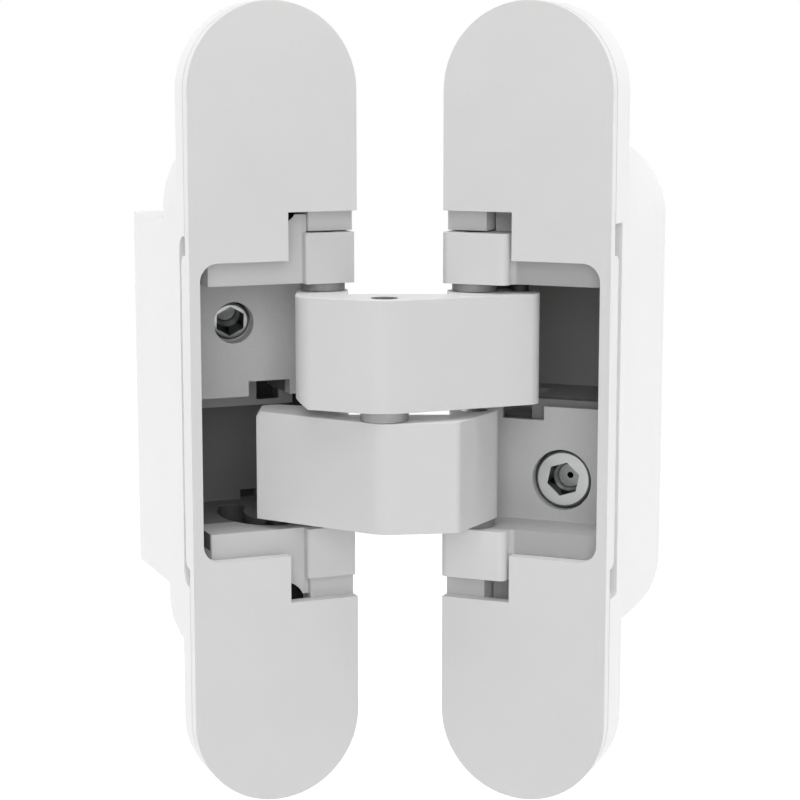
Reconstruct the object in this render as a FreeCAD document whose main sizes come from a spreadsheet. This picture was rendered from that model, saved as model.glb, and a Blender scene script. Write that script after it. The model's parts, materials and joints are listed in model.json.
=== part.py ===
import FreeCAD, Part
import math
import os

import Sketcher

# Driving dimensions, in millimetres and degrees: name, value, meaning
NUMBERS = [
    ("lean", 21.9, "angle of each leaf to the middle plane as the hinge stands half open"),
    ("mouth", 11.85, "gap between the inner front edges of the two leaves"),
    ("plate_length", 111.0, "length of each leaf"),
    ("plate_width", 24.0, "width of each leaf"),
    ("cover_thick", 1.8, "thickness of the cover plate"),
    ("cover_seam", 0.1, "seam between cover plate and housing flange"),
    ("strip_width", 1.49, "width of the cover's outer strip beside the window"),
    ("window_half", 20.6, "half height of the cover's window"),
    ("window_round", 2.5, "corner radius of the window at the outer strip"),
    ("notch_half", 27.2, "half height of the notch at the inner edge"),
    ("notch_width", 9.94, "width of the notch from the inner edge"),
    ("rib_half", 21.6, "half length of the rib behind the outer strip"),
    ("rib_depth", 3.7, "depth of the rib's back from the cover's front"),
    ("rib_round", 1.2, "rounding of the rib's ends"),
    ("peg_radius", 1.2, "radius of a clip peg of the cover"),
    ("peg_length", 3.0, "length of a clip peg behind the cover"),
    ("end_peg_height", 51.0, "height of the end pegs"),
    ("side_peg_height", 36.5, "height of the side pegs"),
    ("side_peg_inset", 4.5, "side pegs from the outer edge"),
    ("peg_fit", 0.05, "clearance round a peg"),
    ("wall", 1.4, "wall of the housing box"),
    ("overrun", 1.4, "how far a cut or a joined block runs past the face that it meets"),
    ("cavity_wall", 1.5, "outer side wall of the housing at the cavity"),
    ("cavity_half", 24.4, "half height of the housing cavity"),
    ("mouth_depth", 9.4, "depth of the opening in the inner side wall"),
    ("screw_hole_height", 43.5, "height of the wood screw holes"),
    ("screw_hole_radius", 2.5, "radius of the wood screw holes"),
    ("screw_hole_sink", 4.7, "radius of their countersink at the flange face"),
    ("ear_height", 33.3, "top of the carrier's clamp ears"),
    ("ear_inset", 3.7, "outer end of the clamp ears from the outer edge"),
    ("ear_thick", 1.9, "thickness of the clamp ears"),
    ("ear_play", 0.3, "clearance round the clamp ears"),
    ("clamp_height", 29.2, "height of the clamp screws"),
    ("clamp_inset", 7.2, "clamp screws from the outer edge"),
    ("clamp_radius", 1.9, "shank radius of a clamp screw"),
    ("clamp_head_radius", 3.0, "head radius of a clamp screw"),
    ("clamp_length", 7.0, "length of a clamp screw"),
    ("carrier_inner", 17.2, "inner face of the carrier's end blocks from the middle"),
    ("carrier_outer", 24.2, "outer face of the carrier's end blocks from the middle"),
    ("carrier_side_play", 0.2, "clearance of the carrier at the housing's inner wall"),
    ("carrier_back_play", 0.4, "clearance of the carrier at the housing's back wall"),
    ("carrier_back_wall", 1.5, "thickness of the carrier's back wall"),
    ("floor_thick", 2.0, "thickness of the carrier's floor plate"),
    ("notch_low", 5.5, "near side of the floor plate's notch"),
    ("notch_high", 11.7, "far side of the floor plate's notch"),
    ("arm_top", 16.0, "outer face of each arm from the middle"),
    ("arm_split", 1.4, "gap between the two arms"),
    ("centre_x", -2.1, "centre pin, across"),
    ("centre_y", -7.5, "centre pin, in front of the leaves' inner edges"),
    ("centre_radius", 1.85, "radius of the centre pin"),
    ("centre_washer_radius", 3.3, "radius of the washer between the arms"),
    ("centre_recess", 2.5, "depth of the centre pin below the arm's top"),
    ("pivot_radius", 2.0, "radius of the pivot pins"),
    ("stub_radius", 1.6, "radius of the washer pins"),
    ("pin_fit", 0.05, "running clearance round a pin"),
    ("pin_bevel", 0.2, "bevel on a pin's ends"),
    ("pin_sink", 0.1, "end of a pin or sleeve inside the face beside it"),
    ("screw_bevel", 0.3, "bevel on an adjusting screw's ends"),
    ("washer_radius", 3.1, "radius of the lug washers"),
    ("washer_play", 0.05, "axial clearance of a washer"),
    ("guide_radius", 1.25, "radius of the guide pins"),
    ("guide_length", 11.0, "length of the guide pins"),
    ("sleeve_radius", 1.7, "radius of the guide sleeves"),
    ("groove_half", 1.9, "half width of the guide grooves"),
    ("groove_depth", 2.3, "depth of the guide grooves"),
    ("groove_floor_play", 0.3, "clearance of a guide pin's end to the groove's floor"),
    ("upper_share", 0.7047, "turn of the upper arm at the frame for each degree of the door leaf"),
    ("cross_share", -0.3652, "turn of the lower arm against the upper arm for the same"),
    ("closed_turn", 136.2, "turn of the door leaf from here to closed"),
    ("upper_lobe", 3.5, "radius of the upper arm round its pivot pin"),
    ("upper_nose", 3.65, "upper arm's ridge in front of the centre pin"),
    ("upper_ridge_near", 1.8, "upper arm's ridge to the frame side of the centre pin"),
    ("upper_ridge_far", 1.2, "upper arm's ridge to the door side of the centre pin"),
    ("upper_slope", 22.6, "slope of the upper arm's two faces"),
    ("upper_guide_x", 16.6, "upper arm's guide pin, across"),
    ("upper_guide_y", 1.3, "upper arm's guide pin, depth"),
    ("upper_end", 2.6, "radius of the upper arm round its guide pin"),
    ("upper_corner", 2.0, "upper arm's front corner radius at the guide end"),
    ("upper_end_sweep", 100.0, "where the round end of the upper arm stops"),
    ("upper_step_x", 6.6, "step in the upper arm's back, across"),
    ("upper_step_y", 2.8, "step in the upper arm's back, depth"),
    ("upper_saddle", -3.0, "back of the upper arm's middle"),
    ("lower_lobe", 3.4, "radius of the lower arm round its pivot pin"),
    ("lower_nose_x", -0.43, "lower arm's ridge from the centre pin, across"),
    ("lower_nose_y", -3.46, "lower arm's ridge from the centre pin, depth"),
    ("lower_nose_round", 4.5, "rounding of the lower arm's ridge"),
    ("lower_near_slope", 31.8, "slope of the lower arm's long face"),
    ("lower_mid_slope", 8.7, "slope of the lower arm's middle face"),
    ("lower_far_slope", 60.0, "slope of the lower arm's face at the door side"),
    ("lower_far_round", 1.2, "rounding between those two faces"),
    ("lower_guide_x", -17.4, "lower arm's guide pin, across"),
    ("lower_guide_y", 3.0, "lower arm's guide pin, depth"),
    ("lower_end", 2.65, "radius of the lower arm round its guide pin"),
    ("lower_end_start", 75.0, "where the round end of the lower arm starts"),
    ("lower_saddle", -2.9, "back of the lower arm's middle"),
    ("lower_step_x", -7.2, "step in the lower arm's back, across"),
    ("lower_step_y", 2.6, "step in the lower arm's back, depth"),
    ("upper_bevel_across", 1.75, "width of the bevel on the upper arm's side at the split"),
    ("upper_bevel_tall", 1.25, "height of that bevel"),
    ("lower_bevel_across", 0.55, "width of the bevel on the lower arm's side at the split"),
    ("lower_bevel_tall", 0.75, "height of that bevel"),
    # Frame leaf
    ("frame_flange_back", 5.5, "back of the frame flange"),
    ("frame_box_half", 25.8, "half height of the frame housing's box"),
    ("frame_box_back", 27.9, "back of the frame housing's box"),
    ("frame_boss_half", 39.7, "half length of the frame housing's round-ended boss"),
    ("frame_boss_back", 12.2, "back of that boss"),
    ("frame_end_play", 1.85, "clearance of the frame carrier at the housing's outer wall"),
    ("frame_edge_half", 24.2, "half height of the outer edge cut of the frame housing"),
    ("frame_edge_depth", 4.6, "depth of that cut"),
    ("frame_edge_round", 2.0, "rounding of that cut's back corners"),
    ("frame_pin_across", 3.55, "frame pivot pin from the inner edge"),
    ("frame_pin_deep", 4.15, "frame pivot pin from the cover's front"),
    ("frame_lug_near", 0.1, "frame lug's side at the inner edge"),
    ("frame_lug_width", 7.1, "frame lug's far side from the inner edge"),
    ("frame_lug_front", 0.8, "frame lug's front from the cover's front"),
    ("frame_lug_bevel", 0.25, "bevel on the frame lug's far side"),
    ("frame_ledge_front", 2.5, "frame carrier's front from the cover's front"),
    ("frame_ear_near", 6.5, "near end of the frame carrier's ears from the inner edge"),
    ("frame_ear_gap", 0.1, "gap beside the frame carrier's ears"),
    ("ear_corner_height", 26.7, "foot of the cut at those ears' near corners"),
    ("frame_floor_deep", 12.8, "frame carrier's floor plate from the cover's front"),
    ("frame_floor_edge", 0.15, "frame floor plate's edge over the middle"),
    ("frame_notch_top", 2.3, "height of the frame floor plate's notch"),
    ("frame_band_edge", 2.9, "frame back wall's thick band below the middle"),
    ("frame_band_front", 23.1, "front of that band from the cover's front"),
    ("frame_port_low", 3.7, "near side of the port in the band"),
    ("frame_port_high", 7.2, "far side of the port in the band"),
    ("frame_port_bottom", 2.1, "bottom of that port below the middle"),
    ("frame_web", 1.5, "thickness of the frame carrier's middle web"),
    ("frame_corner_hole", 2.5, "radius of the hole at the notch's upper corner"),
    ("frame_low_corner_hole", 3.2, "radius of the hole at the notch's lower corner"),
    ("corner_hole_across", 10.3, "those holes from the inner edge"),
    ("corner_hole_height", 28.0, "height of those holes"),
    ("drain_low", 6.9, "near side of the slot in the back wall"),
    ("drain_high", 9.4, "far side of the slot in the back wall"),
    ("drain_height", 1.4, "height of the slot in the back wall"),
    ("key_screw_inset", 10.2, "frame adjusting screw from the outer edge"),
    ("key_screw_height", 10.8, "height of the frame adjusting screw"),
    ("key_bore", 2.95, "radius of the bore over the frame adjusting screw"),
    ("key_head_radius", 2.75, "head radius of the frame adjusting screw"),
    ("key_head_length", 5.0, "head length of the frame adjusting screw"),
    ("key_sunk", 1.7, "frame adjusting screw's face below the floor plate"),
    ("key_shank_radius", 1.6, "shank radius of the frame adjusting screw"),
    ("key_length", 9.5, "length of the frame adjusting screw"),
    ("key_socket", 3.86, "width across flats of its hexagon socket"),
    ("key_socket_depth", 4.4, "depth of the socket"),
    ("key_socket_turn", 30.0, "turn of the socket"),
    ("key_rise", 14.0, "upward tilt of the frame adjusting screw's axis"),
    ("key_swing", 7.7, "sideways tilt of the frame adjusting screw's axis"),
    ("key_boss_radius", 4.6, "radius of the boss behind the frame floor plate"),
    # Door leaf
    ("door_flange_back", 8.0, "back of the door flange"),
    ("door_box_half", 37.0, "half length of the door housing's round-ended box"),
    ("door_box_back", 27.5, "back of the door housing's box"),
    ("door_end_play", 0.6, "clearance of the door carrier at the housing's outer wall"),
    ("door_edge_half", 25.9, "half height of the outer edge cut of the door housing"),
    ("door_edge_depth", 5.3, "depth of that cut"),
    ("door_edge_round", 0.4, "rounding of that cut's back corners"),
    ("door_pin_across", 3.52, "door pivot pin from the inner edge"),
    ("door_pin_deep", 3.0, "door pivot pin from the cover's front"),
    ("door_lug_near", -0.2, "door lug's side at the inner edge"),
    ("door_lug_width", 9.4, "door lug's far side from the inner edge"),
    ("door_lug_front", -0.35, "door lug's front from the cover's front"),
    ("door_lug_round", 1.1, "rounding of the door lug's front corners"),
    ("door_lug_fillet", 1.0, "hollow rounding where the door lug meets the ledge"),
    ("door_ledge_front", 2.0, "door carrier's front from the cover's front"),
    ("door_ear_front", 4.9, "front of the door carrier's ears from the cover's front"),
    ("door_ear_near", 5.95, "near end of the door carrier's ears from the inner edge"),
    ("door_ear_gap", 0.3, "gap beside the door carrier's ears"),
    ("door_floor_deep", 9.5, "door carrier's floor plate from the cover's front"),
    ("door_floor_edge", -0.8, "door floor plate's edge over the middle"),
    ("door_notch_bottom", -2.8, "foot of the door floor plate's notch"),
    ("door_web_top", 0.15, "top of the door carrier's middle web"),
    ("door_web_bottom", -3.4, "foot of the door carrier's middle web"),
    ("door_port_low", 4.5, "near side of the port in the web"),
    ("door_port_high", 9.6, "far side of the port in the web"),
    ("door_port_depth", 8.0, "depth of the port in the web"),
    ("disc_screw_inset", 9.55, "door adjusting screw from the outer edge"),
    ("disc_screw_height", -11.2, "height of the door adjusting screw"),
    ("disc_bore", 4.35, "radius of the bore for its head"),
    ("disc_head_radius", 4.05, "head radius of the door adjusting screw"),
    ("disc_head_length", 2.6, "head length of the door adjusting screw"),
    ("disc_sunk", 0.7, "door adjusting screw's face below the floor plate"),
    ("disc_shank_radius", 2.9, "shank radius of the door adjusting screw"),
    ("disc_length", 12.0, "length of the door adjusting screw"),
    ("disc_socket", 4.3, "width across flats of its hexagon socket"),
    ("disc_socket_depth", 3.4, "depth of the socket"),
    ("disc_socket_turn", 18.0, "turn of the socket"),
    ("disc_hole_radius", 0.45, "radius of the small hole at the socket's foot"),
    ("disc_boss_radius", 5.8, "radius of the boss behind the door floor plate"),
]


class Size:
    """A length or an angle: its value now, and the formula on the sheet that drives it."""

    def __init__(self, value, formula):
        self.value = float(value)
        self.formula = formula

    def __add__(self, other):
        other = as_size(other)
        return Size(self.value + other.value, "(%s + %s)" % (self.formula, other.formula))

    def __sub__(self, other):
        other = as_size(other)
        return Size(self.value - other.value, "(%s - %s)" % (self.formula, other.formula))

    def __mul__(self, other):
        other = as_size(other)
        return Size(self.value * other.value, "(%s * %s)" % (self.formula, other.formula))

    def __truediv__(self, other):
        other = as_size(other)
        return Size(self.value / other.value, "(%s / %s)" % (self.formula, other.formula))

    def __neg__(self):
        return Size(-self.value, "(-1 * %s)" % self.formula)


def as_size(number):
    if isinstance(number, Size):
        return number
    return Size(number, "(%s)" % repr(float(number)))


def cosine(angle):
    return Size(math.cos(math.radians(angle.value)), "cos(%s)" % angle.formula)


def sine(angle):
    return Size(math.sin(math.radians(angle.value)), "sin(%s)" % angle.formula)


def tangent(angle):
    return Size(math.tan(math.radians(angle.value)), "tan(%s)" % angle.formula)


class Sizes:
    """Every driving dimension, by name."""


document = FreeCAD.newDocument("concealed_hinge")
sheet = document.addObject("Spreadsheet::Sheet", "Dims")
dims = Sizes()
for row, (name, value, meaning) in enumerate(NUMBERS, start=1):
    sheet.set("A%d" % row, meaning)
    sheet.set("B%d" % row, repr(value))
    sheet.setAlias("B%d" % row, name)
    setattr(dims, name, Size(value, "Dims." + name))
document.recompute()

ZERO = as_size(0.0)
parts = []
cuts_and_adds = []


class Leaf:
    """One half of the hinge. across runs outward from its inner edge, deep runs behind its front."""

    def __init__(self, name, side, origin, turn):
        self.name = name
        self.side = side
        self.origin = origin
        self.turn = turn

    def across(self, size):
        return as_size(size) * self.side if self.side < 0 else as_size(size)

    def size(self, name):
        return getattr(dims, self.name + "_" + name)


def cavity_outer():
    """Outer side of the housing's cavity, from the leaf's inner edge."""
    return dims.plate_width - dims.cavity_wall


def carrier_near():
    return dims.wall + dims.carrier_side_play


def carrier_end(leaf):
    return cavity_outer() - leaf.size("end_play")


def ear_end():
    return dims.plate_width - dims.ear_inset


def clamp_across():
    return dims.plate_width - dims.clamp_inset


def place(thing, origin, turn, x=ZERO, y=ZERO, z=ZERO):
    """Put a sub-part at x, y, z of a frame that stands at origin, turned about the vertical."""
    px = origin[0] + cosine(turn) * x - sine(turn) * y
    py = origin[1] + sine(turn) * x + cosine(turn) * y
    base = FreeCAD.Vector(px.value, py.value, z.value)
    thing.Placement = FreeCAD.Placement(base, FreeCAD.Rotation(FreeCAD.Vector(0, 0, 1), turn.value))
    thing.setExpression("Placement.Base.x", px.formula)
    thing.setExpression("Placement.Base.y", py.formula)
    thing.setExpression("Placement.Base.z", z.formula)


def new_body(label):
    body = document.addObject("PartDesign::Body", label)
    body.Label = label
    return body


def sketch_on(body, role, offset):
    sketch = body.newObject("Sketcher::SketchObject", body.Label + "_sketch")
    plane = [feature for feature in body.Origin.OriginFeatures if feature.Role == role][0]
    sketch.AttachmentSupport = [(plane, "")]
    sketch.MapMode = "FlatFace"
    sketch.AttachmentOffset = FreeCAD.Placement(FreeCAD.Vector(0, 0, offset.value), FreeCAD.Rotation())
    sketch.setExpression("AttachmentOffset.Base.z", offset.formula)
    return sketch


def fix(sketch, kind, item, point, size):
    """Tie one coordinate of a sketch point to the sheet."""
    index = sketch.addConstraint(Sketcher.Constraint(kind, -1, 1, item, point, size.value))
    sketch.setExpression("Constraints[%d]" % index, size.formula)


def draw_circle(sketch, centre, radius):
    middle = FreeCAD.Vector(centre[0].value, centre[1].value, 0)
    item = sketch.addGeometry(Part.Circle(middle, FreeCAD.Vector(0, 0, 1), radius.value), False)
    fix(sketch, "DistanceX", item, 3, centre[0])
    fix(sketch, "DistanceY", item, 3, centre[1])
    index = sketch.addConstraint(Sketcher.Constraint("Radius", item, radius.value))
    sketch.setExpression("Constraints[%d]" % index, radius.formula)


def arc_between(start, end, centre):
    """The circular arc that runs counter-clockwise from start to end round a centre."""
    first = math.atan2(start.y - centre.y, start.x - centre.x)
    last = math.atan2(end.y - centre.y, end.x - centre.x)
    if last <= first:
        last += 2 * math.pi
    circle = Part.Circle(centre, FreeCAD.Vector(0, 0, 1), (start - centre).Length)
    return Part.ArcOfCircle(circle, first, last)


def draw_loop(sketch, corners):
    """A closed outline. Each corner is (x, y) before a straight run, or (x, y, centre, turn)."""
    ends = []
    points = [FreeCAD.Vector(corner[0].value, corner[1].value, 0) for corner in corners]
    for index, corner in enumerate(corners):
        start = points[index]
        end = points[(index + 1) % len(points)]
        if len(corner) == 2:
            item = sketch.addGeometry(Part.LineSegment(start, end), False)
            ends.append((item, 1, 2))
            continue
        centre = FreeCAD.Vector(corner[2][0].value, corner[2][1].value, 0)
        if corner[3] > 0:
            item = sketch.addGeometry(arc_between(start, end, centre), False)
            ends.append((item, 1, 2))
        else:
            item = sketch.addGeometry(arc_between(end, start, centre), False)
            ends.append((item, 2, 1))
    for index, (item, start_point, end_point) in enumerate(ends):
        following = ends[(index + 1) % len(ends)]
        sketch.addConstraint(Sketcher.Constraint("Coincident", item, end_point, following[0], following[1]))
    for index, corner in enumerate(corners):
        item, start_point, end_point = ends[index]
        fix(sketch, "DistanceX", item, start_point, corner[0])
        fix(sketch, "DistanceY", item, start_point, corner[1])
        if len(corner) == 2:
            continue
        chord = points[(index + 1) % len(points)] - points[index]
        if abs(chord.x) > abs(chord.y):
            fix(sketch, "DistanceY", item, 3, corner[2][1])
        else:
            fix(sketch, "DistanceX", item, 3, corner[2][0])


def prism(body, role, start, length, loops=(), circles=(), cut=False):
    """Add or cut a prism from start, running length further along the plane's positive axis."""
    offset = -start if role == "XZ_Plane" else start
    sketch = sketch_on(body, role, offset)
    for loop in loops:
        draw_loop(sketch, loop)
    for centre, radius in circles:
        draw_circle(sketch, centre, radius)
    kind = "Pocket" if cut else "Pad"
    feature = body.newObject("PartDesign::" + kind, body.Label + "_" + kind.lower())
    feature.Profile = sketch
    feature.Length = length.value
    feature.setExpression("Length", length.formula)
    feature.Reversed = cut != (role == "XZ_Plane")
    cuts_and_adds.append((feature, cut))
    return feature


def turned(label, role, outline):
    """A turned piece: the outline, as (radius, height) corners, spun about the plane's upright."""
    body = new_body(label)
    sketch = sketch_on(body, role, ZERO)
    draw_loop(sketch, outline)
    feature = body.newObject("PartDesign::Revolution", label + "_turned")
    feature.Profile = sketch
    feature.ReferenceAxis = (sketch, ["V_Axis"])
    feature.Angle = 360.0
    return body


def rectangle(left, bottom, right, top):
    return [(left, bottom), (right, bottom), (right, top), (left, top)]


def ring_outline(inner, outer, low, high):
    return rectangle(inner, low, outer, high)


def pin_outline(radius, low, high, bevel):
    return [
        (ZERO, low),
        (radius - bevel, low),
        (radius, low + bevel),
        (radius, high - bevel),
        (radius - bevel, high),
        (ZERO, high),
    ]


def finish(thing):
    parts.append(thing)
    return thing


# Frames of the two leaves and of the arms. Zero is on the back of the frame flange, between its screw holes

frame_origin = (dims.plate_width / 2, -dims.frame_flange_back)
arms_origin = (
    dims.plate_width / 2 + dims.mouth / 2 * cosine(dims.lean),
    -dims.frame_flange_back - dims.mouth / 2 * sine(dims.lean),
)
arms_turn = -dims.lean
door_origin = (
    dims.plate_width / 2 + dims.mouth * cosine(dims.lean),
    -dims.frame_flange_back - dims.mouth * sine(dims.lean),
)
frame = Leaf("frame", -1, frame_origin, ZERO)
door = Leaf("door", 1, door_origin, dims.lean * -2)


def pivot_in_arms(leaf):
    """The leaf's pivot axis in the arms' own axes."""
    across = leaf.size("pin_across")
    deep = leaf.size("pin_deep")
    reach = dims.mouth / 2 + across * cosine(dims.lean) + deep * sine(dims.lean)
    back = deep * cosine(dims.lean) - across * sine(dims.lean)
    return (reach * leaf.side, back)


frame_pivot = pivot_in_arms(frame)
door_pivot = pivot_in_arms(door)
centre_pivot = (dims.centre_x, dims.centre_y)
flange_front = dims.cover_thick + dims.cover_seam
washer_thick = dims.carrier_inner - dims.arm_top - dims.washer_play
split_half = dims.arm_split / 2


# Cover plates and housings

def stadium(leaf, half):
    """A round-ended outline as wide as the leaf."""
    width = dims.plate_width
    centre = width / 2
    straight = half - centre
    near, far, middle = leaf.across(ZERO), leaf.across(width), leaf.across(centre)
    return [
        (far, -straight),
        (far, straight, (middle, straight), leaf.side),
        (near, straight),
        (near, -straight, (middle, -straight), leaf.side),
    ]


def cover_outline(leaf):
    """The stadium less the window beside the outer strip and the notch at the inner edge."""
    width = dims.plate_width
    centre = width / 2
    straight = dims.plate_length / 2 - centre
    strip = width - dims.strip_width
    bend = strip - dims.window_round
    rise = dims.window_half - dims.window_round
    near, far, middle = leaf.across(ZERO), leaf.across(width), leaf.across(centre)
    notch, edge, inside = leaf.across(dims.notch_width), leaf.across(strip), leaf.across(bend)
    return [
        (far, -straight),
        (far, straight, (middle, straight), leaf.side),
        (near, straight),
        (near, dims.notch_half),
        (notch, dims.notch_half),
        (notch, dims.window_half),
        (inside, dims.window_half, (inside, rise), -leaf.side),
        (edge, rise),
        (edge, -rise, (inside, -rise), -leaf.side),
        (inside, -dims.window_half),
        (notch, -dims.window_half),
        (notch, -dims.notch_half),
        (near, -dims.notch_half),
        (near, -straight, (middle, -straight), leaf.side),
    ]


def span(leaf, low, high):
    """Start and length, along x, of what lies between two distances from the inner edge."""
    start = -high if leaf.side < 0 else low
    return start, high - low


def upright_box(body, leaf, low, high, front, back, bottom, top, cut=False):
    """A box between distances across the leaf, behind its front and above the middle."""
    start, length = span(leaf, low, high)
    return prism(body, "YZ_Plane", start, length, [rectangle(front, bottom, back, top)], cut=cut)


def pegs():
    return [
        (dims.plate_width / 2, dims.end_peg_height),
        (dims.plate_width / 2, -dims.end_peg_height),
        (dims.plate_width - dims.side_peg_inset, dims.side_peg_height),
        (dims.plate_width - dims.side_peg_inset, -dims.side_peg_height),
    ]


def cover_plate(leaf):
    body = new_body(leaf.name + "_cover_plate")
    prism(body, "XZ_Plane", ZERO, dims.cover_thick, [cover_outline(leaf)])
    half, bend = dims.rib_half, dims.rib_round
    front, back = dims.cover_thick, dims.rib_depth
    start, length = span(leaf, dims.plate_width - dims.strip_width, dims.plate_width)
    prism(body, "YZ_Plane", start, length, [[
        (front, -half),
        (back - bend, -half, (back - bend, bend - half), 1),
        (back, bend - half),
        (back, half - bend, (back - bend, half - bend), 1),
        (back - bend, half),
        (front, half),
    ]])
    holes = [((leaf.across(x), z), dims.peg_radius) for x, z in pegs()]
    prism(body, "XZ_Plane", dims.cover_thick, dims.peg_length, circles=holes)
    place(body, leaf.origin, leaf.turn)
    return finish(body)


def round_ended(body, leaf, half, back):
    """A round-ended block behind the flange, as it fits a slot routed with one cutter."""
    front = leaf.size("flange_back") - dims.overrun
    prism(body, "XZ_Plane", front, back - front, [stadium(leaf, half)])


def frame_box(body, leaf):
    """A shallow round-ended boss with a deeper square box in its middle."""
    front, back, half = dims.frame_boss_back - dims.overrun, dims.frame_box_back, dims.frame_box_half
    round_ended(body, leaf, dims.frame_boss_half, dims.frame_boss_back)
    upright_box(body, leaf, ZERO, dims.plate_width, front, back, -half, half)


def door_box(body, leaf):
    """A box with round ends over its whole depth."""
    round_ended(body, leaf, dims.door_box_half, dims.door_box_back)


def corner_holes(leaf):
    """The round holes at the corners of the frame leaf's notch."""
    if leaf.side > 0:
        return []
    across = leaf.across(dims.corner_hole_across)
    return [
        ((across, dims.corner_hole_height), dims.frame_corner_hole),
        ((across, -dims.corner_hole_height), dims.frame_low_corner_hole),
    ]


def edge_cut(body, leaf):
    """The step in the housing's outer edge behind the cover's outer strip."""
    half, deep, bend = leaf.size("edge_half"), leaf.size("edge_depth"), leaf.size("edge_round")
    start, length = span(leaf, cavity_outer() - dims.overrun, dims.plate_width + dims.overrun)
    prism(body, "YZ_Plane", start, length, [[
        (ZERO, -half),
        (deep - bend, -half, (deep - bend, bend - half), 1),
        (deep, bend - half),
        (deep, half - bend, (deep - bend, half - bend), 1),
        (deep - bend, half),
        (ZERO, half),
    ]], cut=True)


def housing(leaf, box):
    """The shell that is let into the wood."""
    body = new_body(leaf.name + "_housing")
    flange_back = leaf.size("flange_back")
    prism(body, "XZ_Plane", flange_front, flange_back - flange_front, [stadium(leaf, dims.plate_length / 2)])
    box(body, leaf)
    half = dims.cavity_half
    back = leaf.size("box_back") - dims.wall
    upright_box(body, leaf, dims.wall, cavity_outer(), ZERO, back, -half, half, cut=True)
    through = dims.wall + dims.overrun
    upright_box(body, leaf, -dims.overrun, through, ZERO, dims.mouth_depth, -half, half, cut=True)
    edge_cut(body, leaf)
    ear_deep = ear_front(leaf) + dims.ear_thick + dims.ear_play
    ear_low, ear_high = leaf.size("ear_near") - leaf.size("ear_gap"), ear_end() + dims.ear_play
    ear_top = dims.ear_height + dims.ear_play
    for low, high in ((half - dims.overrun, ear_top), (-ear_top, dims.overrun - half)):
        upright_box(body, leaf, ear_low, ear_high, ZERO, ear_deep, low, high, cut=True)
    clamps = []
    for z in (dims.clamp_height, -dims.clamp_height):
        clamps.append(((leaf.across(clamp_across()), z), dims.clamp_radius))
    clamp_deep = ear_front(leaf) + dims.clamp_length + dims.ear_play
    prism(body, "XZ_Plane", ZERO, clamp_deep, circles=clamps, cut=True)
    holes = [((leaf.across(x), z), dims.peg_radius + dims.peg_fit) for x, z in pegs()]
    holes += corner_holes(leaf)
    deep = dims.cover_thick + dims.peg_length + dims.peg_fit
    prism(body, "XZ_Plane", ZERO, deep, circles=holes, cut=True)
    for z in (dims.screw_hole_height, -dims.screw_hole_height):
        wood_screw_hole(body, leaf, z)
    place(body, leaf.origin, leaf.turn)
    return finish(body)


def wood_screw_hole(body, leaf, height):
    """A countersunk hole through the flange, cut by a turned outline."""
    across = leaf.across(dims.plate_width / 2)
    sink, radius = dims.screw_hole_sink, dims.screw_hole_radius
    sketch = sketch_on(body, "XY_Plane", height)
    back = leaf.size("flange_back") + dims.cover_seam
    draw_loop(sketch, [
        (across, ZERO),
        (across + sink, ZERO),
        (across + sink, flange_front),
        (across + radius, flange_front + sink - radius),
        (across + radius, back),
        (across, back),
    ])
    line = sketch.addGeometry(Part.LineSegment(
        FreeCAD.Vector(across.value, 0, 0), FreeCAD.Vector(across.value, back.value, 0)), True)
    fix(sketch, "DistanceX", line, 1, across)
    fix(sketch, "DistanceY", line, 1, ZERO)
    fix(sketch, "DistanceX", line, 2, across)
    fix(sketch, "DistanceY", line, 2, back)
    groove = body.newObject("PartDesign::Groove", body.Label + "_screw_hole")
    groove.Profile = sketch
    groove.ReferenceAxis = (sketch, ["Axis0"])
    groove.Angle = 360.0
    cuts_and_adds.append((groove, True))


# Carriers: the adjustable blocks that hold the pins

def ear_front(leaf):
    return dims.frame_ledge_front if leaf.side < 0 else dims.door_ear_front


def lug_corners(leaf):
    """The front of the carrier's end blocks, from the inner edge to the ledge."""
    near, far = leaf.size("lug_near"), leaf.size("lug_width")
    front, ledge = leaf.size("lug_front"), leaf.size("ledge_front")
    if leaf.side < 0:
        bevel = dims.frame_lug_bevel
        return [(near, front), (far - bevel, front), (far, front + bevel), (far, ledge)]
    bend, fillet = dims.door_lug_round, dims.door_lug_fillet
    return [
        (near, front + bend, (near + bend, front + bend), 1),
        (near + bend, front),
        (far - bend, front, (far - bend, front + bend), 1),
        (far, front + bend),
        (far, ledge - fillet, (far + fillet, ledge - fillet), -1),
        (far + fillet, ledge),
    ]


def carrier_outline(leaf):
    back = carrier_back(leaf)
    near = leaf.size("lug_near")
    throat = dims.mouth_depth - dims.carrier_side_play
    corners = lug_corners(leaf) + [
        (carrier_end(leaf), leaf.size("ledge_front")),
        (carrier_end(leaf), back),
        (carrier_near(), back),
        (carrier_near(), throat),
        (near, throat),
    ]
    outline = []
    for corner in corners:
        point = (leaf.across(corner[0]), corner[1])
        if len(corner) == 4:
            point += ((leaf.across(corner[2][0]), corner[2][1]), corner[3] * leaf.side)
        outline.append(point)
    return outline


def carrier_back(leaf):
    return leaf.size("box_back") - dims.wall - dims.carrier_back_play


def end_block(body, leaf, bottom):
    """One of the carrier's two blocks that hold the pins."""
    tall = dims.carrier_outer - dims.carrier_inner
    prism(body, "XY_Plane", bottom, tall, [carrier_outline(leaf)])


def carrier_slab(body, leaf, front, back, bottom, top):
    """A slab across the whole width of the carrier."""
    upright_box(body, leaf, carrier_near(), carrier_end(leaf), front, back, bottom, top)


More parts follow.
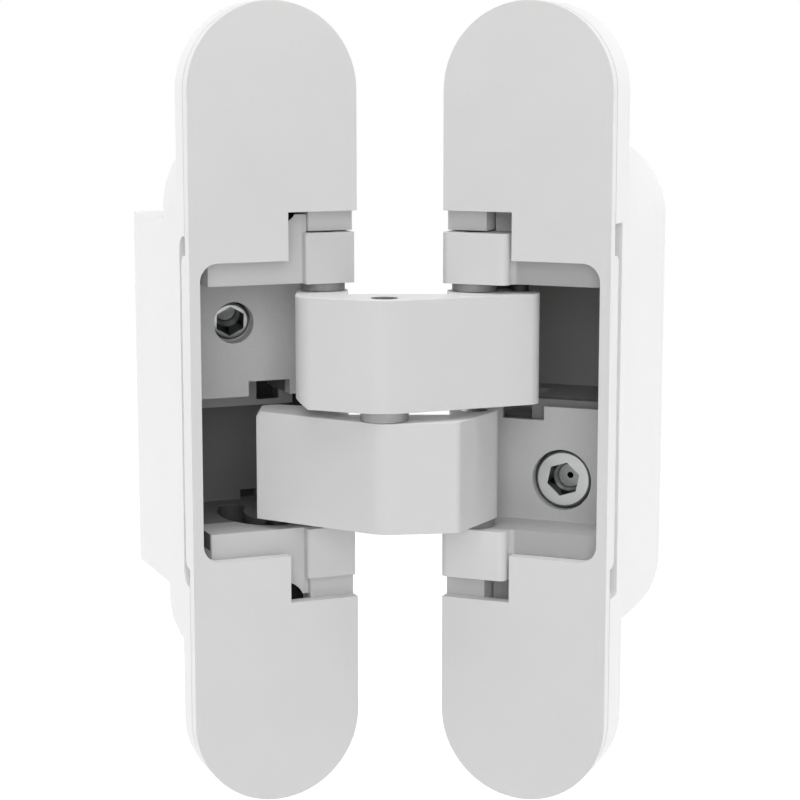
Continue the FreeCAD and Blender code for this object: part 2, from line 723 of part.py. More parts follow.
def ears(body, leaf):
    start, length = span(leaf, leaf.size("ear_near"), ear_end())
    front = ear_front(leaf)
    loops = []
    for low, high in ((dims.carrier_inner, dims.ear_height), (-dims.ear_height, -dims.carrier_inner)):
        loops.append(rectangle(front, low, front + dims.ear_thick, high))
    prism(body, "YZ_Plane", start, length, loops)
    if corner_holes(leaf):
        prism(body, "XZ_Plane", front, dims.ear_thick, circles=corner_holes(leaf), cut=True)
        near, back = leaf.size("ear_near") - dims.overrun, front + dims.ear_thick
        foot, top = dims.ear_corner_height, dims.ear_height + dims.overrun
        for low, high in ((foot, top), (-top, -foot)):
            upright_box(body, leaf, near, dims.corner_hole_across, front, back, low, high, cut=True)
    sink = dims.clamp_head_radius + dims.pin_fit
    for z in (dims.clamp_height, -dims.clamp_height):
        across = leaf.across(clamp_across())
        hole = dims.clamp_radius + dims.pin_fit
        sketch = sketch_on(body, "XY_Plane", z)
        draw_loop(sketch, [
            (across, front - dims.ear_play),
            (across + sink, front - dims.ear_play),
            (across + sink, front + dims.pin_fit),
            (across + hole, front + dims.pin_fit + sink - hole),
            (across + hole, front + dims.ear_thick + dims.ear_play),
            (across, front + dims.ear_thick + dims.ear_play),
        ])
        groove = body.newObject("PartDesign::Groove", body.Label + "_clamp_hole")
        line = sketch.addGeometry(Part.LineSegment(
            FreeCAD.Vector(across.value, 0, 0), FreeCAD.Vector(across.value, front.value, 0)), True)
        fix(sketch, "DistanceX", line, 1, across)
        fix(sketch, "DistanceY", line, 1, ZERO)
        fix(sketch, "DistanceX", line, 2, across)
        fix(sketch, "DistanceY", line, 2, front)
        groove.Profile = sketch
        groove.ReferenceAxis = (sketch, ["Axis0"])
        groove.Angle = 360.0
        cuts_and_adds.append((groove, True))


def pin_bores(body, leaf, upper_radius, lower_radius):
    """Through bores for the pins in the upper and the lower lug."""
    centre = (leaf.across(leaf.size("pin_across")), leaf.size("pin_deep"))
    tall = dims.carrier_outer - dims.carrier_inner
    prism(body, "XY_Plane", dims.carrier_inner, tall, circles=[(centre, upper_radius)], cut=True)
    prism(body, "XY_Plane", -dims.carrier_outer, tall, circles=[(centre, lower_radius)], cut=True)


def fold(turn):
    """Where the two guide pins stand in the other leaf when the door leaf has turned so far."""
    upper = math.radians(dims.upper_share.value * turn)
    lower = upper + math.radians(dims.cross_share.value * turn)
    whole = math.radians(turn)
    first = FreeCAD.Vector(frame_pivot[0].value, frame_pivot[1].value, 0)
    middle = FreeCAD.Vector(dims.centre_x.value, dims.centre_y.value, 0)
    last = FreeCAD.Vector(door_pivot[0].value, door_pivot[1].value, 0)
    up = FreeCAD.Vector(dims.upper_guide_x.value, dims.upper_guide_y.value, 0)
    down = FreeCAD.Vector(dims.lower_guide_x.value, dims.lower_guide_y.value, 0)
    middle_now = first + spin(middle - first, upper)
    last_now = middle_now + spin(last - middle, lower)
    up_now = first + spin(up - first, upper)
    down_now = middle_now + spin(down - middle, lower)
    lean = math.radians(dims.lean.value)
    half = dims.mouth.value / 2
    in_door = last + spin(up_now - last_now, -whole) - FreeCAD.Vector(half, 0, 0)
    in_door = spin(in_door, lean)
    in_frame = spin(down_now + FreeCAD.Vector(half, 0, 0), -lean)
    return in_frame, in_door


def spin(vector, angle):
    return FreeCAD.Rotation(FreeCAD.Vector(0, 0, 1), math.degrees(angle)).multVec(vector)


def guide_groove(leaf, start):
    """A curved groove, round at both ends, along the path of the guide pin in this leaf."""
    steps = 12
    opened = dims.lean.value * 2
    path = []
    for step in range(steps + 1):
        turn = opened - (opened + dims.closed_turn.value) * step / steps
        in_frame, in_door = fold(turn)
        path.append(in_frame if leaf.side < 0 else in_door)
    half = dims.groove_half.value
    curve = Part.BSplineCurve()
    curve.interpolate(path)
    sides = ([], [])
    for point in path:
        along = curve.tangent(curve.parameter(point))[0]
        square = FreeCAD.Vector(-along.y, along.x, 0) * half
        sides[0].append(point + square)
        sides[1].append(point - square)
    left, right = Part.BSplineCurve(), Part.BSplineCurve()
    left.interpolate(sides[0])
    right.interpolate(sides[1])
    first = curve.tangent(curve.FirstParameter)[0] * -half
    last = curve.tangent(curve.LastParameter)[0] * half
    edges = [
        left.toShape(),
        Part.Arc(sides[0][-1], path[-1] + last, sides[1][-1]).toShape(),
        right.toShape(),
        Part.Arc(sides[1][0], path[0] + first, sides[0][0]).toShape(),
    ]
    face = Part.Face(Part.Wire(Part.__sortEdges__(edges)))
    tool = document.addObject("Part::Feature", leaf.name + "_groove_path")
    shape = face.extrude(FreeCAD.Vector(0, 0, dims.groove_depth.value))
    tool.Shape = shape
    place(tool, leaf.origin, leaf.turn, z=start)
    return tool


def tilted_cylinder(label, leaf, radius, length, start, tilt):
    """A cylinder along the adjusting screw's axis, from start behind the screw's face."""
    tool = document.addObject("Part::Cylinder", label)
    tool.setExpression("Radius", radius.formula)
    tool.setExpression("Height", length.formula)
    tool.Placement = screw_placement(leaf, tilt, start).multiply(
        FreeCAD.Placement(FreeCAD.Vector(), FreeCAD.Rotation(FreeCAD.Vector(1, 0, 0), -90)))
    return tool


def screw_placement(leaf, tilt, start):
    """The adjusting screw's own axes: its face at the origin, its axis along y into the leaf."""
    if leaf.side < 0:
        across, height = dims.plate_width - dims.key_screw_inset, dims.key_screw_height
        deep = dims.frame_floor_deep + dims.key_sunk
    else:
        across, height = dims.plate_width - dims.disc_screw_inset, dims.disc_screw_height
        deep = dims.door_floor_deep + dims.disc_sunk
    base = FreeCAD.Vector(leaf.across(across).value, deep.value, height.value)
    leaf_place = FreeCAD.Placement(
        FreeCAD.Vector(leaf.origin[0].value, leaf.origin[1].value, 0),
        FreeCAD.Rotation(FreeCAD.Vector(0, 0, 1), leaf.turn.value))
    rotation = FreeCAD.Rotation()
    if tilt:
        swing = FreeCAD.Rotation(FreeCAD.Vector(0, 0, 1), -dims.key_swing.value)
        rise = FreeCAD.Rotation(FreeCAD.Vector(1, 0, 0), dims.key_rise.value)
        rotation = swing.multiply(rise)
    own = FreeCAD.Placement(base, rotation)
    shift = FreeCAD.Placement(FreeCAD.Vector(0, start.value, 0), FreeCAD.Rotation())
    return leaf_place.multiply(own).multiply(shift)


def joined(label, kind, base, tools):
    """A boolean of the carrier's body with its tools."""
    result = document.addObject("Part::" + kind, label)
    if kind == "Cut":
        result.Base = base
        result.Tool = tools
    else:
        result.Shapes = [base] + tools
    return result


def frame_carrier():
    body = new_body("frame_arm_carrier_body")
    leaf = frame
    back = carrier_back(leaf)
    wall_front = back - dims.carrier_back_wall
    floor = leaf.size("floor_deep")
    edge, web_top = dims.frame_floor_edge, dims.frame_floor_edge + dims.frame_web
    band, band_top = dims.frame_band_front, dims.frame_notch_top + dims.frame_web
    end_block(body, leaf, dims.carrier_inner)
    carrier_slab(body, leaf, floor, floor + dims.floor_thick, edge, dims.carrier_outer)
    carrier_slab(body, leaf, floor + dims.floor_thick, back, edge, web_top)
    carrier_slab(body, leaf, band, back, -dims.frame_band_edge, band_top)
    carrier_slab(body, leaf, wall_front, back, -dims.carrier_outer, web_top)
    end_block(body, leaf, -dims.carrier_outer)
    ears(body, leaf)
    upright_box(body, leaf, dims.notch_low, dims.notch_high, floor - dims.overrun, band,
                -dims.overrun, dims.frame_notch_top, cut=True)
    upright_box(body, leaf, dims.frame_port_low, dims.frame_port_high, band, back,
                -dims.frame_port_bottom, dims.frame_notch_top, cut=True)
    upright_box(body, leaf, dims.drain_low, dims.drain_high, wall_front, back,
                -dims.carrier_inner, dims.drain_height - dims.carrier_inner, cut=True)
    pin_bores(body, leaf, dims.pivot_radius, dims.stub_radius)
    place(body, leaf.origin, leaf.turn)
    boss_start = dims.floor_thick - dims.key_sunk - dims.pin_fit
    boss_length = dims.key_length - dims.key_head_length / 2
    boss = tilted_cylinder("frame_screw_boss", leaf, dims.key_boss_radius, boss_length, boss_start, True)
    whole = joined("frame_carrier_with_boss", "MultiFuse", body, [boss])
    straight = straight_bore("frame_straight_bore", leaf, dims.key_bore, dims.floor_thick)
    head = tilted_cylinder("frame_head_bore", leaf, dims.key_head_radius + dims.pin_fit * 2,
                           dims.key_head_length + dims.pin_fit, ZERO, True)
    shank = tilted_cylinder("frame_shank_bore", leaf, dims.key_shank_radius + dims.pin_fit,
                            dims.key_length * 2, ZERO, True)
    groove = guide_groove(leaf, -dims.carrier_inner - dims.groove_depth)
    tools = document.addObject("Part::MultiFuse", "frame_carrier_tools")
    tools.Shapes = [straight, head, shank, groove]
    return finish(joined("frame_arm_carrier", "Cut", whole, tools))


def straight_bore(label, leaf, radius, length):
    """A bore square to the floor plate, over the tilted screw."""
    tool = document.addObject("Part::Cylinder", label)
    tool.setExpression("Radius", radius.formula)
    tool.setExpression("Height", (length + dims.overrun).formula)
    face = screw_placement(leaf, False, -dims.key_sunk - dims.overrun)
    tool.Placement = face.multiply(
        FreeCAD.Placement(FreeCAD.Vector(), FreeCAD.Rotation(FreeCAD.Vector(1, 0, 0), -90)))
    return tool


def door_carrier():
    body = new_body("door_arm_carrier_body")
    leaf = door
    back = carrier_back(leaf)
    wall_front = back - dims.carrier_back_wall
    floor = leaf.size("floor_deep")
    web_front, floor_back = floor + dims.floor_thick / 2, floor + dims.floor_thick
    foot = dims.door_web_bottom
    end_block(body, leaf, dims.carrier_inner)
    carrier_slab(body, leaf, floor, floor_back, -dims.carrier_outer, dims.door_floor_edge)
    end_block(body, leaf, -dims.carrier_outer)
    carrier_slab(body, leaf, web_front, back, foot, dims.door_web_top)
    carrier_slab(body, leaf, wall_front, back, foot, dims.carrier_outer)
    ears(body, leaf)
    upright_box(body, leaf, dims.notch_low, dims.notch_high, floor - dims.overrun, web_front,
                dims.door_notch_bottom, dims.overrun, cut=True)
    upright_box(body, leaf, dims.door_port_low, dims.door_port_high, web_front,
                floor_back + dims.door_port_depth, dims.door_notch_bottom, dims.overrun, cut=True)
    pin_bores(body, leaf, dims.stub_radius, dims.pivot_radius)
    place(body, leaf.origin, leaf.turn)
    boss_start = dims.floor_thick - dims.disc_sunk - dims.pin_fit
    boss_length = dims.disc_length - dims.floor_thick
    boss = tilted_cylinder("door_screw_boss", leaf, dims.disc_boss_radius, boss_length, boss_start, False)
    whole = joined("door_carrier_with_boss", "MultiFuse", body, [boss])
    head = tilted_cylinder("door_head_bore", leaf, dims.disc_bore,
                           dims.disc_sunk + dims.overrun + dims.disc_head_length + dims.pin_fit,
                           -dims.disc_sunk - dims.overrun, False)
    shank = tilted_cylinder("door_shank_bore", leaf, dims.disc_shank_radius + dims.pin_fit,
                            dims.disc_length * 2, ZERO, False)
    groove = guide_groove(leaf, dims.carrier_inner)
    tools = document.addObject("Part::MultiFuse", "door_carrier_tools")
    tools.Shapes = [head, shank, groove]
    return finish(joined("door_arm_carrier", "Cut", whole, tools))


# Arms

def corner(point, heading_in, heading_out, radius):
    """Round a left-hand corner: the two tangent points and the arc's centre."""
    half = (heading_out - heading_in) / 2
    reach = radius * tangent(half)
    first = (point[0] - reach * cosine(heading_in), point[1] - reach * sine(heading_in))
    last = (point[0] + reach * cosine(heading_out), point[1] + reach * sine(heading_out))
    centre = (first[0] - radius * sine(heading_in), first[1] + radius * cosine(heading_in))
    return [(first[0], first[1], centre, 1), last]


def upper_arm():
    body = new_body("upper_arm")
    lobe, slope = dims.upper_lobe, dims.upper_slope
    ridge = dims.centre_y - dims.upper_nose
    near = (dims.centre_x - dims.upper_ridge_near, ridge)
    far = (dims.centre_x + dims.upper_ridge_far, ridge)
    side = frame_pivot[0] - lobe
    heel = (side, ridge + tangent(slope) * (near[0] - side))
    guide = (dims.upper_guide_x, dims.upper_guide_y)
    end_side = guide[0] + dims.upper_end
    tip = (end_side, ridge + tangent(slope) * (end_side - far[0]))
    stop = dims.upper_end_sweep
    back = (guide[0] + dims.upper_end * cosine(stop), guide[1] + dims.upper_end * sine(stop))
    down, up = as_size(-90.0), as_size(90.0)
    outline = corner(heel, down, -slope, lobe)
    outline += [near, far]
    outline += corner(tip, slope, up, dims.upper_corner)
    outline += [
        (end_side, guide[1], guide, 1),
        back,
        (dims.upper_step_x, dims.upper_step_y),
        (dims.upper_step_x, dims.upper_saddle),
        (frame_pivot[0] + lobe, dims.upper_saddle),
        (frame_pivot[0] + lobe, frame_pivot[1], frame_pivot, 1),
        (side, frame_pivot[1]),
    ]
    tall = dims.arm_top - split_half
    prism(body, "XY_Plane", split_half, tall, [outline])
    pivot_bore = dims.pivot_radius + dims.pin_fit
    prism(body, "XY_Plane", split_half, tall, circles=[(frame_pivot, pivot_bore)], cut=True)
    prism(body, "XY_Plane", split_half, tall, circles=[(centre_pivot, dims.centre_radius)], cut=True)
    start = dims.arm_top - guide_grip()
    prism(body, "XY_Plane", start, guide_grip(), circles=[(guide, dims.guide_radius)], cut=True)
    bevel_edge(body, side, split_half, dims.upper_bevel_across, dims.upper_bevel_tall)
    place(body, arms_origin, arms_turn)
    return finish(body)


def bevel_edge(body, side, edge, across, tall):
    """A bevel along the arm's outer side, at the split; tall is below zero where it goes down."""
    reach, past = dims.arm_top * 2, dims.overrun
    drop = tall / across
    low, inner = side - past, side + across + past
    foot = edge - drop * past
    loop = [(low, foot), (inner, foot), (low, edge + tall + drop * past)]
    if tall.value < 0:
        loop.reverse()
    prism(body, "XZ_Plane", -reach, reach * 2, [loop], cut=True)


def guide_grip():
    """Length of a guide pin inside its arm."""
    return dims.guide_length - (guide_tip() - dims.arm_top)


def guide_tip():
    """Height of a guide pin's end in its groove."""
    return dims.carrier_inner + dims.groove_depth - dims.groove_floor_play


def lower_arm():
    body = new_body("lower_arm")
    lobe = dims.lower_lobe
    guide = (dims.lower_guide_x, dims.lower_guide_y)
    side = guide[0] - dims.lower_end
    nose = (dims.centre_x + dims.lower_nose_x, dims.centre_y + dims.lower_nose_y)
    near, middle, far = dims.lower_near_slope, dims.lower_mid_slope, dims.lower_far_slope
    cheek = (side, nose[1] + tangent(near) * (nose[0] - side))
    touch = (door_pivot[0] + lobe * sine(far), door_pivot[1] - lobe * cosine(far))
    gap = (touch[0] - nose[0], touch[1] - nose[1])
    run = (gap[0] * sine(middle) - gap[1] * cosine(middle)) / sine(middle - far)
    knee = (touch[0] - run * cosine(far), touch[1] - run * sine(far))
    start = dims.lower_end_start
    back = (guide[0] + dims.lower_end * cosine(start), guide[1] + dims.lower_end * sine(start))
    outline = [cheek]
    outline += corner(nose, -near, middle, dims.lower_nose_round)
    outline += corner(knee, middle, far, dims.lower_far_round)
    outline += [
        (touch[0], touch[1], door_pivot, 1),
        (door_pivot[0] - lobe, door_pivot[1]),
        (door_pivot[0] - lobe, dims.lower_saddle),
        (dims.lower_step_x, dims.lower_saddle),
        (dims.lower_step_x, dims.lower_step_y),
        (back[0], back[1], guide, 1),
        (side, guide[1]),
    ]
    tall = dims.arm_top - split_half
    prism(body, "XY_Plane", -dims.arm_top, tall, [outline])
    foot, pivot_bore = -dims.arm_top, dims.pivot_radius + dims.pin_fit
    centre_bore = dims.centre_radius + dims.pin_fit
    prism(body, "XY_Plane", foot, tall, circles=[(door_pivot, pivot_bore)], cut=True)
    prism(body, "XY_Plane", foot, tall, circles=[(centre_pivot, centre_bore)], cut=True)
    prism(body, "XY_Plane", foot, guide_grip(), circles=[(guide, dims.guide_radius)], cut=True)
    bevel_edge(body, side, -split_half, dims.lower_bevel_across, -dims.lower_bevel_tall)
    place(body, arms_origin, arms_turn)
    return finish(body)


# Pins, washers, sleeves and screws

def upright_pin(label, centre, origin, turn, radius, low, high):
    piece = turned(label, "XZ_Plane", pin_outline(radius, low, high, dims.pin_bevel))
    place(piece, origin, turn, x=centre[0], y=centre[1])
    return finish(piece)


def upright_ring(label, centre, origin, turn, inner, outer, low, high):
    piece = turned(label, "XZ_Plane", ring_outline(inner, outer, low, high))
    place(piece, origin, turn, x=centre[0], y=centre[1])
    return finish(piece)


def clamp_screws(leaf):
    """Two countersunk screws, one through each ear, as one node of two solids."""
    screws = []
    front = ear_front(leaf) + dims.pin_fit
    head, shank, length = dims.clamp_head_radius, dims.clamp_radius, dims.clamp_length
    for name, z in (("upper", dims.clamp_height), ("lower", -dims.clamp_height)):
        piece = turned("%s_%s_clamp_screw" % (leaf.name, name), "XY_Plane", [
            (ZERO, ZERO),
            (head, ZERO),
            (shank, head - shank),
            (shank, length),
            (ZERO, length),
        ])
        place(piece, leaf.origin, leaf.turn, x=leaf.across(clamp_across()), y=front, z=z)
        screws.append(piece)
    pair = document.addObject("Part::Compound", leaf.name + "_clamp_screws")
    pair.Links = screws
    return finish(pair)


def screw_body(label, head_radius, head_length, shank_radius, length):
    bevel = dims.screw_bevel
    return turned(label, "XY_Plane", [
        (ZERO, ZERO),
        (head_radius - bevel, ZERO),
        (head_radius, bevel),
        (head_radius, head_length),
        (shank_radius, head_length),
        (shank_radius, length - bevel),
        (shank_radius - bevel, length),
        (ZERO, length),
    ])


def hexagon(flats, turn):
    """The corners of a hexagon socket."""
    radius = flats / 2 / math.cos(math.pi / 6)
    corners = []
    for step in range(6):
        angle = turn + as_size(60.0 * step)
        corners.append((radius * cosine(angle), radius * sine(angle)))
    return corners


def key_screw():
    body = screw_body("frame_adjusting_screw", dims.key_head_radius, dims.key_head_length,
                      dims.key_shank_radius, dims.key_length)
    socket = hexagon(dims.key_socket, dims.key_socket_turn)
    prism(body, "XZ_Plane", ZERO, dims.key_socket_depth, [socket], cut=True)
    body.Placement = screw_placement(frame, True, ZERO)
    return finish(body)


def disc_screw():
    body = screw_body("door_adjusting_screw", dims.disc_head_radius, dims.disc_head_length,
                      dims.disc_shank_radius, dims.disc_length)
    deep = dims.disc_socket_depth
    socket = hexagon(dims.disc_socket, dims.disc_socket_turn)
    prism(body, "XZ_Plane", ZERO, deep, [socket], cut=True)
    prism(body, "XZ_Plane", ZERO, deep * 2, circles=[((ZERO, ZERO), dims.disc_hole_radius)], cut=True)
    body.Placement = screw_placement(door, False, ZERO)
    return finish(body)


def pivot_set(leaf, up):
    """The leaf's pivot pin and washer, and the pin and washer in its other lug."""
    centre = (leaf.across(leaf.size("pin_across")), leaf.size("pin_deep"))
    lug_in, lug_out = dims.carrier_inner, dims.carrier_outer - dims.pin_sink
    arm_end = split_half + dims.pin_sink
    seat = dims.arm_top + dims.washer_play
    bore = dims.pin_fit
    if up:
        pin_span, washer_span = (arm_end, lug_out), (seat, lug_in)
        stub_span, guard_span = (-lug_out, -seat), (-lug_in, -seat)
    else:
        pin_span, washer_span = (-lug_out, -arm_end), (-lug_in, -seat)
        stub_span, guard_span = (seat, lug_out), (seat, lug_in)
    name = leaf.name
    upright_pin(name + "_pivot_pin", centre, leaf.origin, leaf.turn, dims.pivot_radius, *pin_span)
    upright_ring(name + "_pivot_washer", centre, leaf.origin, leaf.turn,
                 dims.pivot_radius + bore, dims.washer_radius, *washer_span)
    upright_pin(name + "_spacer_pin", centre, leaf.origin, leaf.turn, dims.stub_radius, *stub_span)
    upright_ring(name + "_spacer_washer", centre, leaf.origin, leaf.turn,
                 dims.stub_radius + bore, dims.washer_radius, *guard_span)


def guide_set(label, centre, up):
    """A guide pin in the end of an arm, with the sleeve that runs in the groove."""
    tip = guide_tip()
    foot = tip - dims.guide_length
    low = dims.carrier_inner + dims.pin_sink
    pin_span = (foot, tip) if up else (-tip, -foot)
    sleeve_span = (low, tip) if up else (-tip, -low)
    upright_pin(label + "_guide_pin", centre, arms_origin, arms_turn, dims.guide_radius, *pin_span)
    upright_ring(label + "_guide_sleeve", centre, arms_origin, arms_turn,
                 dims.guide_radius + dims.pin_fit, dims.sleeve_radius, *sleeve_span)


def centre_set():
    top = dims.arm_top - dims.centre_recess
    upright_pin("centre_pin", centre_pivot, arms_origin, arms_turn, dims.centre_radius, -top, top)
    upright_ring("centre_washer", centre_pivot, arms_origin, arms_turn,
                 dims.centre_radius + dims.pin_fit, dims.centre_washer_radius,
                 dims.washer_play - split_half, split_half)


def build():
    for leaf in (frame, door):
        cover_plate(leaf)
        clamp_screws(leaf)
    housing(frame, frame_box)
    housing(door, door_box)
    frame_carrier()
    door_carrier()
    key_screw()
    disc_screw()
    pivot_set(frame, True)
    pivot_set(door, False)
    upper_arm()
    lower_arm()
    centre_set()
    guide_set("upper", (dims.upper_guide_x, dims.upper_guide_y), True)
    guide_set("lower", (dims.lower_guide_x, dims.lower_guide_y), False)


def check():
    """Every object is sound, and every cut removes and every pad adds material."""
    for thing in document.Objects:
        if "Invalid" in thing.State or "Error" in thing.State:
            raise RuntimeError("failed: " + thing.Label)
    for feature, cut in cuts_and_adds:
        base = feature.BaseFeature
        before = base.Shape.Volume if base else 0.0
        change = feature.Shape.Volume - before
        if (change >= -1e-6) if cut else (change <= 1e-6):
            raise RuntimeError("no effect: %s %s" % (feature.Label, feature.Name))
    for part in parts:
        if part.Shape.isNull() or not part.Shape.isValid():
            raise RuntimeError("bad shape: " + part.Label)


def write():
    os.makedirs("parts", exist_ok=True)
    for part in parts:
        part.Shape.exportStep("parts/%s.step" % part.Label)


build()
document.recompute()
check()
write()
for part in parts:
    print(part.Label, len(part.Shape.Solids), round(part.Shape.Volume, 1))
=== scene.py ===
import json
import math
from collections import namedtuple

import bpy
from mathutils import Matrix, Vector


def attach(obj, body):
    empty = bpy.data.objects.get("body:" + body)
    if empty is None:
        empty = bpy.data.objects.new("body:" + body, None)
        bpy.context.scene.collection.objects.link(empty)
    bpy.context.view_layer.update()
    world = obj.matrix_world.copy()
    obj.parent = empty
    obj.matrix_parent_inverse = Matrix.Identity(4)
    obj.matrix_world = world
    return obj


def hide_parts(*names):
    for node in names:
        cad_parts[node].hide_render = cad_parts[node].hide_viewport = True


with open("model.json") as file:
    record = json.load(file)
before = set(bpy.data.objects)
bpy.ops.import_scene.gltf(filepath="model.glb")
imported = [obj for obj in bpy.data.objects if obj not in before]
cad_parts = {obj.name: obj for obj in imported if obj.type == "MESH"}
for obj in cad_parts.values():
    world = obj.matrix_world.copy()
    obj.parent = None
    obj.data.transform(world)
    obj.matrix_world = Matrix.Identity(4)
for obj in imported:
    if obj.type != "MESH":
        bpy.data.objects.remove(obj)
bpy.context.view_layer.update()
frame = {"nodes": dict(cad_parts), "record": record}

# The two leaves, in metres and degrees: each leaf's turn out of the photograph's plane, the gap
# between their inner edges, half a leaf's width, and how deep the flange's back lies, which is where
# the frame's y is 0. A leaf's own axes run across from its inner edge outward, deep from the front
# of its cover plate inward, and up from its middle.
LEAN = 21.9
MOUTH = 0.01185
HALF_WIDTH = 0.012
FLANGE_BACK = 0.0055
FRAME_ORIGIN = Vector((HALF_WIDTH, -FLANGE_BACK, 0.0))
DOOR_ORIGIN = FRAME_ORIGIN + Vector((
    MOUTH * math.cos(math.radians(LEAN)), -MOUTH * math.sin(math.radians(LEAN)), 0.0))
MIDDLE = (FRAME_ORIGIN + DOOR_ORIGIN) / 2
BEHAVIOUR = frame["record"]["behaviour"]
BODY_OF = {node: body for body, nodes in BEHAVIOUR["bodies"].items() for node in nodes}
JOINTS = {joint["name"]: joint for joint in BEHAVIOUR["joints"]}


def in_front_frame(across, deep, up):
    """A place given as the photograph sees it: right, away and up from the middle of the hinge."""
    return MIDDLE + Matrix.Rotation(math.radians(-LEAN), 3, "Z") @ Vector((across, deep, up))


# Camera, which looks down a little on the middle of the hinge

CAMERA_BACK = 0.2995
CAMERA_UP = 0.04943
CAMERA_DIP = 9.214
SENSOR_WIDTH = 36.0
LENS = 98.14

camera_data = bpy.data.cameras.new("camera")
camera = bpy.data.objects.new("camera", camera_data)
bpy.context.scene.collection.objects.link(camera)
camera.location = in_front_frame(0.0, -CAMERA_BACK, CAMERA_UP)
camera.rotation_euler = (math.radians(90 - CAMERA_DIP), 0.0, math.radians(-LEAN))
camera_data.sensor_width = SENSOR_WIDTH
camera_data.lens = LENS
camera_data.clip_start = 0.01
camera_data.clip_end = 20.0
bpy.context.scene.camera = camera


# Nodes

# A Mix node's factor and its two colours among its inputs, and its colour among its outputs
MIX_INPUTS = (0, 6, 7)
MIX_RESULT = 2


def feed(tree, target, value):
    """Give an input a value of its own, or link another node's output to it."""
    if isinstance(value, bpy.types.NodeSocket):
        tree.links.new(value, target)
    else:
        target.default_value = value


def maths(tree, operation, *values):
    """One Math node."""
    node = tree.nodes.new("ShaderNodeMath")
    node.operation = operation
    for target, value in zip(node.inputs, values):
        feed(tree, target, value)
    return node.outputs["Value"]


def vector_maths(tree, operation, first, second=None):
    """One Vector Math node; a dot product and a length come out as a number."""
    node = tree.nodes.new("ShaderNodeVectorMath")
    node.operation = operation
    feed(tree, node.inputs[0], first)
    if second is not None:
        feed(tree, node.inputs["Scale" if operation == "SCALE" else 1], second)
    return node.outputs["Value" if operation in ("DOT_PRODUCT", "LENGTH") else "Vector"]


def ramp(tree, value, low, high, shape="SMOOTHSTEP"):
    """0 at low, 1 at high, level beyond them."""
    node = tree.nodes.new("ShaderNodeMapRange")
    node.interpolation_type = shape
    feed(tree, node.inputs["Value"], value)
    feed(tree, node.inputs["From Min"], low)
    feed(tree, node.inputs["From Max"], high)
    return node.outputs["Result"]


def blend_colours(tree, share, first, second):
    """The first colour where share is 0, the second where it is 1."""
    node = tree.nodes.new("ShaderNodeMix")
    node.data_type = "RGBA"
    for index, value in zip(MIX_INPUTS, (share, first, second)):
        feed(tree, node.inputs[index], value)
    return node.outputs[MIX_RESULT]


def noise(tree, vector, scale, detail, rough=0.5):
    """Even noise between 0 and 1."""
    node = tree.nodes.new("ShaderNodeTexNoise")
    node.inputs["Scale"].default_value = scale
    node.inputs["Detail"].default_value = detail
    node.inputs["Roughness"].default_value = rough
    feed(tree, node.inputs["Vector"], vector)
    return node.outputs["Fac"]


def separated(tree, vector):
    """The X, Y and Z outputs of a vector."""
    node = tree.nodes.new("ShaderNodeSeparateXYZ")
    feed(tree, node.inputs["Vector"], vector)
    return node.outputs


def grey(level, warm=0.0):
    """A grey colour, with a little more red and less blue where it is warm."""
    return (level + warm, level, level - warm, 1.0)


def tinted(level, tint):
    """A colour of this tint at this level."""
    return tuple(level * part for part in tint) + (1.0,)


def drifting(tree, share, tone, by, tint=(1.0, 1.0, 1.0)):
    """A colour that goes from a little darker than its tone to a little lighter."""
    return blend_colours(tree, share, tinted(tone * (1 - by), tint), tinted(tone * (1 + by), tint))


# Node groups

def new_group(name, vectors, numbers, results):
    """A group that takes the named vectors and numbers, and gives the named results."""
    group = bpy.data.node_groups.new(name, "ShaderNodeTree")
    for labels, way, kind in (
            (vectors, "INPUT", "NodeSocketVector"),
            (numbers, "INPUT", "NodeSocketFloat"),
            (results, "OUTPUT", "NodeSocketFloat")):
        for label in labels:
            group.interface.new_socket(name=label, in_out=way, socket_type=kind)
    given = group.nodes.new("NodeGroupInput").outputs
    out = group.nodes.new("NodeGroupOutput").inputs
    return group, given, out


def placed(tree, group, **values):
    """A group's node in a material, with its inputs by name."""
    node = tree.nodes.new("ShaderNodeGroup")
    node.node_tree = group
    for name, value in values.items():
        feed(tree, node.inputs[name], value)
    return node.outputs


def coat_group():
    """Powder coat: a fine orange peel, finer grit, and a faint drift in tone and gloss."""
    group, given, out = new_group(
        "powder_coat_surface", ("Vector",), ("Peel", "Grit"), ("Height", "Drift", "Speck"))
    place = given["Vector"]
    peel = noise(group, place, scale=1500.0, detail=2.0)
    grit = noise(group, place, scale=6500.0, detail=2.0, rough=0.6)
    drift = noise(group, place, scale=90.0, detail=3.0)
    speck = noise(group, place, scale=3800.0, detail=3.0, rough=0.7)
    height = maths(group, "ADD", maths(group, "MULTIPLY", peel, given["Peel"]),
                   maths(group, "MULTIPLY", grit, given["Grit"]))
    feed(group, out["Height"], height)
    feed(group, out["Drift"], drift)
    feed(group, out["Speck"], speck)
    return group


# A leaf's pocket in the leaf's own axes: its inner and outer side, and the back of its box
POCKET_NEAR = 0.0005
POCKET_FAR = 0.0228
POCKET_BACK = 0.0268


def pocket_group():
    """How far a place lies inside a leaf's pocket, as the share of the pocket's painted shade: 0 on the
    outside, 1 deep within.
    """
    group, given, out = new_group(
        "inside_pocket", (), ("Across", "Deep", "Up", "From", "To", "Tall"), ("Share",))
    near = maths(group, "GREATER_THAN", given["Across"], POCKET_NEAR)
    far = maths(group, "LESS_THAN", given["Across"], POCKET_FAR)
    tall = maths(group, "LESS_THAN", maths(group, "ABSOLUTE", given["Up"]), given["Tall"])
    shell = maths(group, "LESS_THAN", given["Deep"], POCKET_BACK)
    box = maths(group, "MULTIPLY", maths(group, "MULTIPLY", near, far), maths(group, "MULTIPLY", tall, shell))
    depth = ramp(group, given["Deep"], given["From"], given["To"], "LINEAR")
    feed(group, out["Share"], maths(group, "MULTIPLY", box, depth))
    return group


